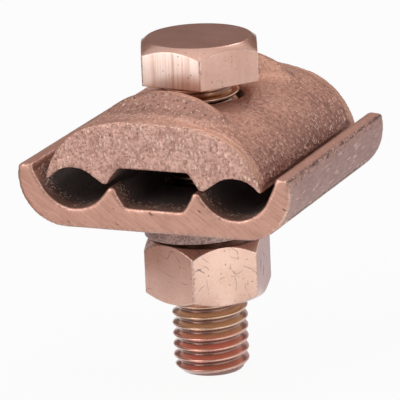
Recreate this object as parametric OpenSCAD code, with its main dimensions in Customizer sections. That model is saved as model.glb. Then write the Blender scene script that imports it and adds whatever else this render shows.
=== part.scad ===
// Cable-to-plate connector: two cast jaws clamped over two cables by one bolt, with a spring washer and a nut.
// The bolt stands on its free end at the origin, the cables run along Y, and X is the width.

/* [Bolt and nut] */
// Outside diameter of the thread
thread_d = 12; // [10:0.5:12.5]
// Thread pitch, which also sets the depth of the thread and of the chamfers at the bolt's end and in the nut
thread_pitch = 1.75; // [1:0.25:2]
// Place round the bolt, from the right, where the thread's crest comes to the bolt's end, in degrees
thread_start = 80; // [0:1:359]
// Length of the bolt under its head
bolt_length = 47.4; // [44:0.2:70]
// Width across the flats of the head and the nut
across_flats = 18; // [17:0.5:18.5]
// Height of the bolt head, with its washer face
head_height = 6.45; // [5:0.05:8.5]
// Thickness of the round washer face under the head
washer_face_t = 0.4; // [0.2:0.1:0.8]
// Height of the nut
nut_height = 9.5; // [7:0.5:11]
// Diameter of the round face that the chamfer leaves on the head and the nut
round_face_d = 16.4; // [15.2:0.1:16.8]
// Slope of that chamfer in degrees
hex_chamfer = 30; // [20:1:35]
// Turn of the head's front corner from straight ahead, in degrees
head_turn = 23; // [20:1:40]
// Turn of the nut's front corner from straight ahead, in degrees
nut_turn = 10; // [0:1:59]

/* [Spring washer] */
// Width of the washer's wire, across the ring
washer_width = 3.5; // [2.7:0.1:4]
// Thickness of the washer's wire
washer_thickness = 2.4; // [1.5:0.1:3]
// Height of the free washer, from its low end to its high end
washer_free_h = 5.4; // [4:0.1:6.6]
// Opening of the split in degrees
washer_split = 9; // [5:1:20]
// Place of the washer's low end round the bolt in degrees
washer_turn = 196; // [0:1:359]

/* [Both jaws] */
// Length of the jaws along the cables
jaw_depth = 40.7; // [39.9:0.1:57]
// Distance between the two cable grooves
groove_spacing = 26.5; // [26:0.5:32]

/* [Lower jaw] */
// Distance from a groove's middle to the outside of the lip
lower_side = 9.3; // [8.8:0.1:11.4]
// Height from the underside to the top of the lips
lip_height = 9.65; // [9.1:0.05:10.4]
// Outer radius where the sides turn under
lower_corner_r = 7.85; // [6.2:0.05:8.5]
// Radius of the lower cable grooves
lower_groove_r = 6.05; // [5.5:0.05:6.05]
// Wall under the cable grooves
groove_floor = 3.1; // [2.85:0.05:3.8]
// Lean of the groove's outer side in degrees from upright
lip_lean = 30; // [22:1:36]
// Wall under the middle recess
recess_floor = 3.75; // [2.85:0.05:4.7]
// Distance that the middle recess narrows from a ridge's middle to its floor
recess_narrowing = 2.25; // [1.7:0.05:2.8]
// Height of the ridges from the underside
ridge_height = 6.85; // [6.45:0.05:7.2]
// Radius of the ridges' rounded tops
ridge_r = 0.8; // [0.5:0.05:0.85]
// Distance from a groove's middle to the ridge beside it
ridge_offset = 6.25; // [6.15:0.05:6.6]

/* [Upper jaw] */
// Distance from a groove's middle to the outside of the upper jaw
upper_side = 4.95; // [4.75:0.05:5.3]
// Radius of the vault over the top
vault_r = 36; // [32:1:57]
// Radius of the vault's shoulders
shoulder_r = 11.85; // [8.5:0.05:12.3]
// Height of the vault over the bolt's seat
vault_rise = 0.75; // [0.5:0.05:1.3]
// Depth of the middle recess's roof below the seat
roof_drop = 7.1; // [5.7:0.1:7.5]
// Radius of the upper cable grooves
upper_groove_r = 5.1; // [4.75:0.05:5.3]
// Depth of the upper grooves' crown below the seat
crown_drop = 7.45; // [7.1:0.05:7.75]
// Depth of the teeth below the seat
tooth_drop = 9.85; // [9.7:0.05:10.4]
// Radius of the teeth's rounded tips
tooth_r = 0.75; // [0.5:0.05:0.9]
// Distance from a groove's middle to the tooth beside it
tooth_offset = 5.2; // [5.05:0.05:5.5]
// Lean of the teeth's inner flanks in degrees from upright
tooth_lean = 35; // [25:1:40]
// Depth of the sides' edges below the seat
side_drop = 9.45; // [9.1:0.05:9.65]

/* [Humps] */
// Height of the humps' crests over the seat
hump_height = 3.85; // [2.9:0.05:4.7]
// Radius of the arch that the crests follow
hump_arch_r = 15.15; // [13.3:0.05:16.1]
// Distance of the crests from the ends of the jaw
hump_inset = 6.55; // [6.45:0.05:7.5]
// Radius of the crests' rounding
crest_r = 2.1; // [1.45:0.05:2.35]
// Lean of the humps' inner faces in degrees from upright
hump_inner_lean = 38; // [30:1:42]
// Lean of the humps' outer faces in degrees from upright
hump_outer_lean = 57; // [50:1:58]

/* [Clearances] */
// Play between the bolt head and its seat, with the jaws let down on the nut
head_play = 2.75; // [0.5:0.05:3.3]
// Gap between the teeth and the ridges
jaw_gap = 0.3; // [0.1:0.05:0.6]
// Radial clearance of the bolt in the jaws
hole_clearance = 0.75; // [0.4:0.05:1]
// Radial clearance of the bolt in the washer
washer_clearance = 0.25; // [0.15:0.05:0.5]
// Radial clearance of the thread in the nut
thread_clearance = 0.05; // [0.02:0.01:0.09]
// Gap over and under the washer
seat_gap = 0.1; // [0.05:0.05:0.3]

/* [Hidden] */
$fn = 96;
over = 1;
// Depth that a straight side runs into a round it meets, so that the two surfaces cross instead of just touching
lap = 0.05;

cast_copper = [0.72, 0.46, 0.38];
sawn_copper = [0.76, 0.52, 0.43];
plated_copper = [0.82, 0.58, 0.48];
washer_copper = [0.62, 0.45, 0.41];

// Depth of the thread from its outside to its core, and the steps it is drawn with in one turn
thread_depth = 0.6134 * thread_pitch;
thread_steps = 18;
corner_r = across_flats / 2 / cos(30);
jaw_hole_r = thread_d / 2 + hole_clearance;
groove_x = groove_spacing / 2;
hump_y = jaw_depth / 2 - hump_inset;

// The stack, from the head down to the nut
seat_z = bolt_length - head_play;
ridge_z = seat_z - tooth_drop - jaw_gap;
lower_z = ridge_z - ridge_height;
washer_z = lower_z - seat_gap - washer_free_h;
nut_z = washer_z - seat_gap - nut_height;

// Moves a flat outline, drawn across the width and height, to run along the depth of the jaws
module along_depth() {
    rotate([90, 0, 0])
        linear_extrude(height = jaw_depth, center = true)
            children();
}

// Repeats a flat shape at the same place on the right and on the left
module on_both_sides(place) {
    for (side = [1, -1])
        translate([side * place[0], place[1]])
            children();
}

// Closes an outline that is the same on both sides, from its points on the right
function mirrored(right) =
    concat(right, [for (i = [len(right) - 1:-1:0]) [-right[i][0], right[i][1]]]);

// Turns a point of an outline upside down
function flipped(point) = [point[0], -point[1]];

// Ends of the straight flank between a rounded tip that points down and the groove beside it
function flank(tip, tip_r, groove, groove_r) =
    let (
        span = groove - tip,
        reach = [tip_r - lap, groove_r - lap],
        slope = asin(min(1, (reach[0] + reach[1]) / norm(span))) + atan2(span[1], span[0]),
        outward = [sin(slope), -cos(slope)]
    )
    [tip + reach[0] * outward, groove - reach[1] * outward];

// Hexagon with a corner at the given turn from the front, cut back by the chamfer's cone at its ends
module hexagon(height, turn, chamfer_low, chamfer_high) {
    cone_r = corner_r + over;
    cone_drop = (cone_r - round_face_d / 2) * tan(hex_chamfer);
    low = chamfer_low ? cone_drop : 0;
    high = chamfer_high ? cone_drop : 0;
    low_r = chamfer_low ? round_face_d / 2 : cone_r;
    high_r = chamfer_high ? round_face_d / 2 : cone_r;
    intersection() {
        rotate([0, 0, turn - 90])
            cylinder(r = corner_r, h = height, $fn = 6);
        rotate_extrude()
            polygon([[0, 0], [low_r, 0], [cone_r, low], [cone_r, height - high], [high_r, height], [0, height]]);
    }
}

// Point of the thread's surface, by its step round the bolt and its row: two rows on the crest, then two on the root
function thread_point(step, row) =
    let (
        turn = thread_start + 360 * step / thread_steps,
        r = thread_d / 2 - (row % 4 < 2 ? 0 : thread_depth),
        share = [-1, 1, 7, 9][row % 4] / 16 + floor(row / 4) + step / thread_steps
    )
    [r * cos(turn), r * sin(turn), thread_pitch * (share - 2)];

// Number of that point in the list: after a full turn a row meets the row that lies one pitch higher
function thread_number(step, row, rows) =
    step == thread_steps ? row + 4
    : step == 0 ? row
    : rows + 5 + (step - 1) * (rows + 1) + row;

// Rod with a right-handed thread all along it, longer than the bolt at both ends
module thread_rod() {
    turns = ceil(bolt_length / thread_pitch) + 5;
    rows = 4 * turns;
    points = concat(
        [for (row = [0:rows + 4]) thread_point(0, row)],
        [for (step = [1:thread_steps - 1], row = [0:rows]) thread_point(step, row)],
        [[0, 0, -3 * thread_pitch], [0, 0, turns * thread_pitch]]
    );
    sides = [for (step = [0:thread_steps - 1], row = [0:rows - 1])
        let (
            a = thread_number(step, row, rows),
            b = thread_number(step + 1, row, rows),
            c = thread_number(step + 1, row + 1, rows),
            d = thread_number(step, row + 1, rows)
        )
        each [[a, d, c], [a, c, b]]];
    foot = len(points) - 2;
    low = [for (step = [0:thread_steps]) thread_number(step, 0, rows)];
    low_loop = concat(low, [3, 2, 1]);
    high = [for (step = [thread_steps:-1:0]) thread_number(step, rows, rows)];
    high_loop = concat(high, [rows + 1, rows + 2, rows + 3]);
    count = len(low_loop);
    ends = [for (i = [0:count - 1])
        let (next = (i + 1) % count)
        each [[foot, low_loop[i], low_loop[next]], [foot + 1, high_loop[i], high_loop[next]]]];
    polyhedron(points = points, faces = concat(sides, ends));
}

module hex_bolt() {
    core_r = thread_d / 2 - thread_depth;
    clear_r = thread_d / 2 + over;
    top = bolt_length + washer_face_t / 2;
    color(plated_copper) {
        intersection() {
            thread_rod();
            rotate_extrude()
                polygon([[0, 0], [core_r, 0], [clear_r, clear_r - core_r], [clear_r, top], [0, top]]);
        }
        translate([0, 0, bolt_length])
            cylinder(d = round_face_d, h = washer_face_t);
        translate([0, 0, bolt_length + washer_face_t])
            hexagon(head_height - washer_face_t, head_turn, false, true);
    }
}

module hex_nut() {
    bore_r = thread_d / 2 + thread_clearance;
    mouth = thread_depth / 2;
    color(plated_copper)
        translate([0, 0, nut_z])
            difference() {
                hexagon(nut_height, nut_turn, true, true);
                translate([0, 0, -over])
                    cylinder(r = bore_r, h = nut_height + 2 * over);
                translate([0, 0, -over])
                    cylinder(r1 = bore_r + mouth + over, r2 = bore_r, h = mouth + over);
                translate([0, 0, nut_height - mouth])
                    cylinder(r1 = bore_r, r2 = bore_r + mouth + over, h = mouth + over);
            }
}

// Corners of the washer's wire at one place along its single turn
function wire_corners(share) =
    let (
        turn = washer_turn + share * (360 - washer_split),
        low = share * (washer_free_h - washer_thickness),
        inner = thread_d / 2 + washer_clearance,
        outer = inner + washer_width
    )
    [for (corner = [[inner, 0], [outer, 0], [outer, washer_thickness], [inner, washer_thickness]])
        [corner[0] * cos(turn), corner[0] * sin(turn), low + corner[1]]];

module spring_washer() {
    steps = 72;
    wire = [for (step = [0:steps]) each wire_corners(step / steps)];
    sides = [for (step = [0:steps - 1], side = [0:3])
        let (a = 4 * step + side, b = 4 * step + (side + 1) % 4)
        each [[a, a + 4, b], [b, a + 4, b + 4]]];
    last = 4 * steps;
    ends = [[0, 1, 2], [0, 2, 3], [last, last + 2, last + 1], [last, last + 3, last + 2]];
    color(washer_copper)
        translate([0, 0, washer_z])
            polyhedron(points = wire, faces = concat(sides, ends));
}

// Tray with two grooves, drawn from its underside up
module lower_outline() {
    side_x = groove_x + lower_side;
    turn_x = side_x - lower_corner_r;
    groove = [groove_x, groove_floor + lower_groove_r];
    ridge = [groove_x - ridge_offset, ridge_height - ridge_r];
    flank_ends = flank(flipped(ridge), ridge_r, flipped(groove), lower_groove_r);
    recess_half = ridge[0] - recess_narrowing;
    // The leaning side leaves the groove at its foot and runs into the round top of the lip
    lean = [cos(lip_lean), -sin(lip_lean)];
    foot = groove + (lower_groove_r - lap) * lean;
    lip_r = (lean * [side_x - foot[0], lip_height - foot[1]]) / (1 + lean[0] + lean[1]);
    lip = [side_x - lip_r - lap, lip_height - lip_r];
    difference() {
        union() {
            on_both_sides([turn_x, lower_corner_r]) circle(lower_corner_r);
            translate([-turn_x, 0]) square([2 * turn_x, lip_height]);
            translate([-side_x, lower_corner_r]) square([2 * side_x, lip_height]);
        }
        polygon(mirrored([
            [recess_half, recess_floor],
            [ridge[0] - ridge_r + lap, ridge[1]],
            flipped(flank_ends[0]),
            flipped(flank_ends[1]),
            groove,
            foot,
            lip - (lip_r - lap) * lean,
            lip,
            [side_x + over, lip[1]],
            [side_x + over, lower_corner_r + lip_height + over]
        ]));
        on_both_sides(groove) circle(lower_groove_r);
    }
    on_both_sides(ridge) circle(ridge_r);
    on_both_sides(lip) circle(lip_r);
}

module lower_jaw() {
    color(sawn_copper)
        translate([0, 0, lower_z])
            difference() {
                along_depth() lower_outline();
                translate([0, 0, -over])
                    cylinder(r = jaw_hole_r, h = lip_height + 2 * over);
            }
}

// Vaulted saddle with two grooves and two teeth, drawn from the bolt's seat at height zero
module upper_outline() {
    side_x = groove_x + upper_side;
    shoulder_x = side_x - shoulder_r;
    reach = vault_r - shoulder_r;
    vault_z = vault_rise - vault_r;
    shoulder_z = vault_z + sqrt(reach * reach - shoulder_x * shoulder_x) + lap;
    blend_x = shoulder_x * vault_r / reach;
    groove = [groove_x, -crown_drop - upper_groove_r];
    tip = [groove_x - tooth_offset, tooth_r - tooth_drop];
    inner = tip - (tooth_r - lap) * [cos(tooth_lean), sin(tooth_lean)];
    flank_ends = flank(tip, tooth_r, groove, upper_groove_r);
    roof_half = inner[0] - (-roof_drop - inner[1]) * tan(tooth_lean);
    difference() {
        intersection() {
            translate([0, vault_z]) circle(vault_r, $fn = 4 * $fn);
            union() {
                on_both_sides([shoulder_x, shoulder_z]) circle(shoulder_r);
                translate([-blend_x, -tooth_drop]) square([2 * blend_x, tooth_drop + vault_rise + over]);
            }
            translate([-side_x, -tooth_drop]) square([2 * side_x, tooth_drop + vault_rise + over]);
        }
        polygon(mirrored([groove, flank_ends[1], flank_ends[0], inner, [roof_half, -roof_drop]]));
        on_both_sides(groove) circle(upper_groove_r);
        on_both_sides([side_x, -side_drop - shoulder_r / 2]) square([2 * upper_side, shoulder_r], center = true);
    }
    on_both_sides(tip) circle(tooth_r);
}

// Section of a hump, with its height over the arch's centre drawn across and its place on the jaw drawn upwards
module hump_section() {
    crest = [hump_arch_r - crest_r, hump_y];
    seat = hump_arch_r - hump_height;
    root = seat - over;
    foot = seat + vault_rise / 2;
    from = hump_inner_lean - 90;
    to = 90 - hump_outer_lean;
    steps = 10;
    rounding = [for (step = [0:steps])
        let (turn = from + (to - from) * step / steps)
        crest + crest_r * [cos(turn), sin(turn)]];
    root_y = rounding[0][1] - (rounding[0][0] - root) * tan(hump_inner_lean);
    foot_y = rounding[steps][1] + (rounding[steps][0] - foot) * tan(hump_outer_lean);
    polygon(concat([[root, root_y]], rounding, [[foot, foot_y], [root, foot_y]]));
}

// Hump over the arch, in front of the bolt
module hump() {
    spread = 52;
    translate([0, 0, hump_height - hump_arch_r])
        rotate([90, 0, 0])
            rotate([0, 0, 90 - spread])
                rotate_extrude(angle = 2 * spread)
                    hump_section();
}

module upper_jaw() {
    color(cast_copper)
        translate([0, 0, seat_z])
            difference() {
                union() {
                    difference() {
                        along_depth() upper_outline();
                        // Flat seat for the bolt head, between the humps
                        translate([0, 0, over])
                            cube([2 * groove_x, 2 * hump_y, 2 * over], center = true);
                    }
                    hump();
                    rotate([0, 0, 180]) hump();
                }
                translate([0, 0, -tooth_drop - over])
                    cylinder(r = jaw_hole_r, h = tooth_drop + vault_rise + 2 * over);
            }
}

hex_bolt();
upper_jaw();
lower_jaw();
spring_washer();
hex_nut();
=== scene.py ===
"""Cable connector: two copper jaws on one bolt with a split washer and a nut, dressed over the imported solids."""

import logging
import math
from dataclasses import dataclass
from enum import Enum
from typing import Any, Callable

import bmesh
import bpy
import numpy as np
from mathutils import Matrix, Vector


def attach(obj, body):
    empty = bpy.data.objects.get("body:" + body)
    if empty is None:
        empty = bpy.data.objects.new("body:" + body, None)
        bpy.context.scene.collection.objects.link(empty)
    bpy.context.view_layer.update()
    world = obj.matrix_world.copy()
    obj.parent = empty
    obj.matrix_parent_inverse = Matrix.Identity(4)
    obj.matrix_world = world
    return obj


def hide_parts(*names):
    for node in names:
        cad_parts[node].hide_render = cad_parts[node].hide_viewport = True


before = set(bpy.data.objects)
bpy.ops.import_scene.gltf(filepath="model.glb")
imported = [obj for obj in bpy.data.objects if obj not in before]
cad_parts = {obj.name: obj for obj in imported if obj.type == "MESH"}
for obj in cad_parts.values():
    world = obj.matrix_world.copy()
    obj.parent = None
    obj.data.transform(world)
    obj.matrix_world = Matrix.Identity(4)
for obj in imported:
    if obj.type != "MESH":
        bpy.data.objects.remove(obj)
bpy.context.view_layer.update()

LOG = logging.getLogger("connector")
MM = 0.001

Mesh, Thing, Material = bpy.types.Mesh, bpy.types.Object, bpy.types.Material
Pair, Triple = tuple[float, float], tuple[float, float, float]
Colour, Section = Triple, list[Pair]
Values = dict[Any, Any]
Shares = dict[str, np.ndarray]

# Sizes that several pieces share and the heights that follow from them, in millimetres
THREAD_D, BOLT_LENGTH, HEAD_PLAY = 12.0, 47.4, 2.75
TOOTH_DROP, JAW_GAP, RIDGE_HEIGHT, GROOVE_SPACING = 9.85, 0.3, 6.85, 26.5
SEAT_GAP, WASHER_HEIGHT, NUT_HEIGHT = 0.1, 5.4, 9.5
SEAT_Z = BOLT_LENGTH - HEAD_PLAY
LOWER_Z = SEAT_Z - TOOTH_DROP - JAW_GAP - RIDGE_HEIGHT
WASHER_Z = LOWER_Z - SEAT_GAP - WASHER_HEIGHT
NUT_Z = WASHER_Z - SEAT_GAP - NUT_HEIGHT

PLATED_MARKS = ("thread", "crest", "root", "corner", "drawn", "turned", "nick")


class Body(Enum):
    """The moving bodies that the pieces ride on."""

    BOLT = "bolt"
    WASHER = "washer"
    NUT = "nut"
    LOWER = "lower"
    UPPER = "upper"


class Blend(Enum):
    """Ways of laying one colour over another."""

    OVER = "MIX"
    SHADE = "MULTIPLY"


class Wire:
    """A node's output that takes part in Python arithmetic."""

    def __init__(self, graph: "Graph", socket: bpy.types.NodeSocket) -> None:
        """Keep the socket and the graph that it belongs to."""
        self.graph = graph
        self.socket = socket

    def __add__(self, other: Any) -> "Wire":
        """Sum."""
        return self.graph.math("ADD", self, other)

    def __sub__(self, other: Any) -> "Wire":
        """Difference."""
        return self.graph.math("SUBTRACT", self, other)

    def __rsub__(self, other: Any) -> "Wire":
        """Difference, from the right."""
        return self.graph.math("SUBTRACT", other, self)

    def __mul__(self, other: Any) -> "Wire":
        """Product."""
        return self.graph.math("MULTIPLY", self, other)

    def __truediv__(self, other: Any) -> "Wire":
        """Quotient."""
        return self.graph.math("DIVIDE", self, other)

    def __rtruediv__(self, other: Any) -> "Wire":
        """Quotient, from the right."""
        return self.graph.math("DIVIDE", other, self)

    __radd__ = __add__
    __rmul__ = __mul__

    def step(self, low: float, high: float) -> "Wire":
        """Rise smoothly from 0 at low to 1 at high, or fall where low is the larger."""
        ends = (low, high, 0.0, 1.0) if low < high else (high, low, 1.0, 0.0)
        return self.graph.wire("ShaderNodeMapRange", dict(enumerate((self, *ends))), interpolation_type="SMOOTHSTEP")


class Graph:
    """A node tree with one way to add any node."""

    def __init__(self, tree: bpy.types.NodeTree) -> None:
        """Keep the tree that the nodes go into."""
        self.tree = tree

    def node(self, kind: str, values: Values | None = None, **settings: Any) -> bpy.types.Node:
        """Add a node.

        Args:
            kind: the node's type name.
            values: wires or constants for its input sockets, by name or number.
            settings: its properties, set before its sockets.

        Returns:
            The new node.
        """
        made = self.tree.nodes.new(kind)
        for name, value in settings.items():
            setattr(made, name, value)
        for key, value in (values or {}).items():
            if isinstance(value, Wire):
                self.tree.links.new(value.socket, made.inputs[key])
            else:
                made.inputs[key].default_value = value
        return made

    def wire(self, kind: str, values: Values | None = None, out: int | str = 0, **settings: Any) -> Wire:
        """Add a node, as node() does, and take the output of this name or number."""
        return Wire(self, self.node(kind, values, **settings).outputs[out])

    def math(self, operation: str, *values: Any, clamp: bool = False) -> Wire:
        """Add a Math node over these wires or numbers, and keep its result from 0 to 1 if asked to."""
        return self.wire("ShaderNodeMath", dict(enumerate(values)), operation=operation, use_clamp=clamp)

    def spread(self, vector: Wire) -> list[Wire]:
        """Take a vector's three parts."""
        return [Wire(self, part) for part in self.node("ShaderNodeSeparateXYZ", {0: vector}).outputs]

    def stretch(self, vector: Wire, sizes: Triple) -> Wire:
        """Multiply a vector part by part."""
        return self.wire("ShaderNodeVectorMath", {0: vector, 1: sizes}, operation="MULTIPLY")

    def around(self, radius: Wire, angle: Wire, height: Wire) -> Wire:
        """Give a place about the bolt's axis from its radius, angle and height."""
        x, y = (radius * self.math(part, angle) for part in ("COSINE", "SINE"))
        return self.wire("ShaderNodeCombineXYZ", {0: x, 1: y, 2: height})


class Paint(Graph):
    """A material's nodes, with the place on the piece, in metres, where patterns are read unless told otherwise."""

    def __init__(self, tree: bpy.types.NodeTree) -> None:
        """Start with the place on the piece."""
        super().__init__(tree)
        self.place = self.wire("ShaderNodeTexCoord", out="Object")

    def noise(
        self, size: float, detail: float = 2.0, rough: float = 0.5, bend: float = 0.0, at: Any = None, out: str = "Fac"
    ) -> Wire:
        """Cloudy noise about 0.5.

        Args:
            size: width of its largest features, in millimetres.
            detail: how many finer layers it has.
            rough: how strong those are.
            bend: how much it is distorted.
            at: where to read it.
            out: the output to take.

        Returns:
            The noise's value.
        """
        values = {"Scale": 1.0 / (size * MM), "Detail": detail, "Roughness": rough, "Distortion": bend}
        return self.wire("ShaderNodeTexNoise", {"Vector": at or self.place, **values}, out)

    def dots(self, size: float, share: float, reach: float = 0.4, at: Any = None) -> Wire:
        """Small soft dots in some of the cells of an irregular net.

        Args:
            size: spacing of the cells, in millimetres.
            share: part of the cells that hold a dot.
            reach: size of a dot within its cell.
            at: where to read them.

        Returns:
            1 in the middle of a dot and 0 outside.
        """
        drift = self.stretch(self.noise(size / 2.2, at=at, out="Color"), (0.9 * size * MM,) * 3)
        drifted = self.wire("ShaderNodeVectorMath", {0: at or self.place, 1: drift}, operation="ADD")
        found = self.node("ShaderNodeTexVoronoi", {"Vector": drifted, "Scale": 1.0 / (size * MM)})
        chance = self.wire("ShaderNodeSeparateColor", {0: Wire(self, found.outputs["Color"])})
        return chance.step(share * 1.1, share * 0.9) * Wire(self, found.outputs["Distance"]).step(reach, reach * 0.45)

    def mix(self, share: Any, under: Any, over: Any, blend: Blend = Blend.OVER) -> Wire:
        """Lay one colour over another.

        Args:
            share: how much of the upper colour shows.
            under: the lower colour.
            over: the upper colour.
            blend: how they mix.

        Returns:
            The mixed colour.
        """
        a, b = (tint if isinstance(tint, Wire) else (*tint, 1.0) for tint in (under, over))
        return self.wire("ShaderNodeMix", {0: share, 6: a, 7: b}, 2, data_type="RGBA", blend_type=blend.value)

    def mark(self, name: str) -> Wire:
        """Read a number that was stored on the mesh."""
        return self.wire("ShaderNodeAttribute", None, "Fac", attribute_name=name, attribute_type="GEOMETRY")

    def bump(self, height: Wire, depth: float = 1.0) -> Wire:
        """Turn a height from 0 to 1 into a shading normal, with 1 as so many millimetres."""
        return self.wire("ShaderNodeBump", {"Distance": depth * MM, "Height": height}, "Normal")


def emptied(owner: Material | bpy.types.World) -> bpy.types.NodeTree:
    """Clear the nodes of a new material or world.

    Args:
        owner: the material or the world.

    Returns:
        Its node tree.
    """
    owner.use_nodes = True
    owner.node_tree.nodes.clear()
    return owner.node_tree


@dataclass(frozen=True)
class Finish:
    """A metal finish. Its sizes and heights are in millimetres."""

    name: str

    def surface(self, paint: Paint) -> Values:
        """Give the wires and constants that the shader's sockets take, by socket name."""
        raise NotImplementedError

    def material(self) -> Material:
        """Make the material, or find the one already made.

        Returns:
            The material.
        """
        made = bpy.data.materials.get(self.name)
        if made is None:
            made = bpy.data.materials.new(self.name)
            paint = Paint(emptied(made))
            shader = paint.wire("ShaderNodeBsdfPrincipled", self.surface(paint))
            paint.node("ShaderNodeOutputMaterial", {"Surface": shader})
        return made


@dataclass(frozen=True)
class CastCopper(Finish):
    """Sand-cast copper alloy: sandy ends, a rippled back with bright crystals, painted glints and edge highlights,
    painted shade towards the back's lower edges, and a dark skin inside deepened by painted shade.
    """

    name: str = "grainy_cast_copper"
    light: Colour = (0.70, 0.435, 0.36)
    dull: Colour = (0.42, 0.23, 0.185)
    back_light: Colour = (0.70, 0.385, 0.285)
    back_dull: Colour = (0.37, 0.185, 0.14)
    low_shade: Colour = (0.60, 0.53, 0.56)
    dished: Colour = (0.30, 0.155, 0.12)
    pit: Colour = (0.13, 0.065, 0.05)
    crystal: Colour = (1.0, 0.70, 0.57)
    worked: Colour = (0.46, 0.235, 0.165)
    rubbed: Colour = (0.65, 0.36, 0.26)
    skin: Colour = (0.16, 0.125, 0.118)
    metallic: float = 0.85
    cloud_size: float = 5.0
    sand_size: float = 0.42
    pebble_size: float = 0.95
    ripple_size: float = 0.75
    ripple_shape: Triple = (1.25, 1.25, 0.7)
    pit_size: float = 0.46
    glint_size: float = 0.44
    bold_size: float = 0.78
    shaded_z: Pair = (44.5, 36.5)
    rubbed_x: Pair = (-2.0, 9.0)

    def surface(self, paint: Paint) -> Values:
        """Lay out the casting's look.

        Args:
            paint: the material's nodes.

        Returns:
            Wires and constants by socket name.
        """
        inside, back, smooth, edge, dish = map(paint.mark, ("inside", "flank", "worked", "edge", "dish"))
        across, _, up = paint.spread(paint.place)
        low = up.step(*(z * MM for z in self.shaded_z))
        right = across.step(*(x * MM for x in self.rubbed_x))
        slope = paint.stretch(paint.place, self.ripple_shape)
        cloud = paint.noise(self.cloud_size, 3.0)
        sand = paint.noise(self.sand_size, 2.0, 0.6)
        pebble = paint.noise(self.pebble_size, 1.0, 0.5, 0.3)
        ripple = paint.noise(self.ripple_size, 2.0, 0.55, 0.3, slope)

        # The ends are sandy, and the back is rippled and darker towards its lower edges, where the darkening is
        # painted shade
        end_tone = (sand * 0.55 + pebble * 0.3 + cloud * 0.15).step(0.37, 0.63)
        back_tone = (ripple * 0.55 + sand * 0.25 + cloud * 0.2).step(0.37, 0.63)
        back_body = paint.mix(back_tone, self.back_dull, self.back_light)
        back_body = paint.mix(low, back_body, self.low_shade, Blend.SHADE)
        body = paint.mix(back, paint.mix(end_tone, self.dull, self.light), back_body)
        body = paint.mix(dish * 0.65, body, self.dished)
        body = paint.mix(smooth * (0.55 + cloud * 0.4), body, paint.mix(right, self.worked, self.rubbed))

        # Pits, and bright crystals painted with glints, plus painted highlights along the edges, fewer where the
        # surface was worked
        pits = paint.dots(self.pit_size, 0.2, 0.42) * (1.0 - smooth * 0.7) * (0.6 + dish * 0.4)
        body = paint.mix(pits * 0.85, body, self.pit)
        rougher = 1.0 - smooth * 0.75
        glint = paint.dots(self.glint_size, 0.26, 0.52, slope) * rougher * (0.62 + back * low * 0.38)
        bold = paint.dots(self.bold_size, 0.4, 0.5, slope) * rougher
        glint = glint + bold * (back * low * 0.7 + (1.0 - back) * 0.6)
        body = paint.mix(glint * 0.85 + edge * sand.step(0.42, 0.6) * 0.1, body, self.crystal)
        # The dark skin inside, deepened away from the ends by painted shade
        body = paint.mix(paint.math("MINIMUM", inside * (0.72 + sand * 0.45), 1.0), body, self.skin)

        grit = 0.2 - smooth * 0.14
        height = sand * grit + pebble * grit * (1.0 - back) + ripple * back * (0.6 - smooth * 0.48)
        return {
            "Base Color": body,
            "Metallic": self.metallic,
            "Roughness": 0.46 + sand * 0.12 - glint * 0.16 - smooth * 0.06 + pits * 0.15 + inside * 0.25,
            "Normal": paint.bump(height + glint * 0.2 - pits * 0.14),
        }


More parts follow.
